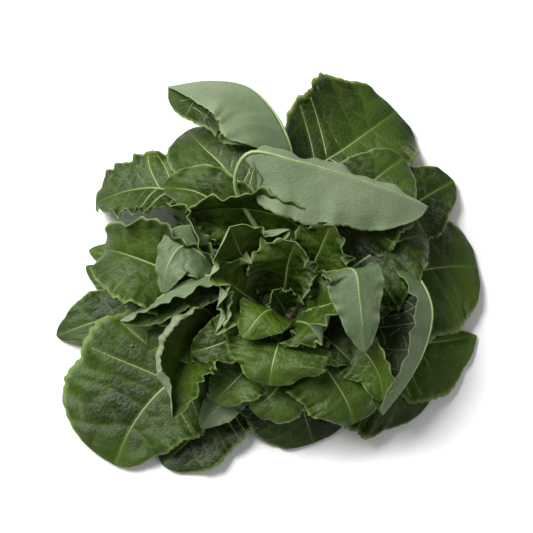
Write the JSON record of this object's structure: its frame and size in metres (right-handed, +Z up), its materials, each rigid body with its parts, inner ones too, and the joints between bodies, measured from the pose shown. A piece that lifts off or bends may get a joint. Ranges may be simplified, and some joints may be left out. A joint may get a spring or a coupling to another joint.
{
  "type": "bunch of spinach",
  "caption": "Bunch of spinach: long-stalked ruffled leaves splayed in layers from a cut root crown that it stands on",
  "frame": {"origin": "centre of the crown's flat cut face, which the bunch stands on", "axes": "+Z up out of the crown; +X and +Y level, with the longest leaves reaching towards +Y"},
  "size_m": [0.2669, 0.2533, 0.09],
  "materials": {
    "crown": "matt, earthy pinkish root stub with a pale cut",
    "outer_leaf": "semi-gloss dark green face with pale veins, matt grey-green back",
    "middle_leaf": "semi-gloss green face with pale veins, matt grey-green back",
    "heart_leaf": "semi-gloss light green face with pale veins and a yellow-green margin"
  },
  "bodies": {
    "root": {"crown": "crown", "outer_leaf_01": "outer_leaf", "outer_leaf_02": "outer_leaf", "outer_leaf_03": "outer_leaf", "outer_leaf_04": "outer_leaf", "outer_leaf_05": "outer_leaf", "outer_leaf_06": "outer_leaf", "outer_leaf_07": "outer_leaf", "outer_leaf_08": "outer_leaf", "outer_leaf_09": "outer_leaf", "outer_leaf_10": "outer_leaf", "outer_leaf_11": "outer_leaf", "outer_leaf_12": "outer_leaf", "outer_leaf_13": "outer_leaf", "outer_leaf_14": "outer_leaf", "outer_leaf_15": "outer_leaf", "outer_leaf_16": "outer_leaf", "outer_leaf_17": "outer_leaf", "outer_leaf_18": "outer_leaf", "outer_leaf_19": "outer_leaf", "middle_leaf_01": "middle_leaf", "middle_leaf_02": "middle_leaf", "middle_leaf_03": "middle_leaf", "middle_leaf_04": "middle_leaf", "middle_leaf_05": "middle_leaf", "middle_leaf_06": "middle_leaf", "middle_leaf_07": "middle_leaf", "middle_leaf_08": "middle_leaf", "middle_leaf_09": "middle_leaf", "middle_leaf_10": "middle_leaf", "middle_leaf_11": "middle_leaf", "middle_leaf_12": "middle_leaf", "middle_leaf_13": "middle_leaf", "middle_leaf_14": "middle_leaf", "middle_leaf_15": "middle_leaf", "middle_leaf_16": "middle_leaf", "middle_leaf_17": "middle_leaf", "heart_leaf_01": "heart_leaf", "heart_leaf_02": "heart_leaf", "heart_leaf_03": "heart_leaf", "heart_leaf_04": "heart_leaf", "heart_leaf_05": "heart_leaf", "heart_leaf_06": "heart_leaf", "heart_leaf_07": "heart_leaf", "heart_leaf_08": "heart_leaf", "heart_leaf_09": "heart_leaf", "heart_leaf_10": "heart_leaf", "heart_leaf_11": "heart_leaf", "heart_leaf_12": "heart_leaf"}
  },
  "joints": []
}
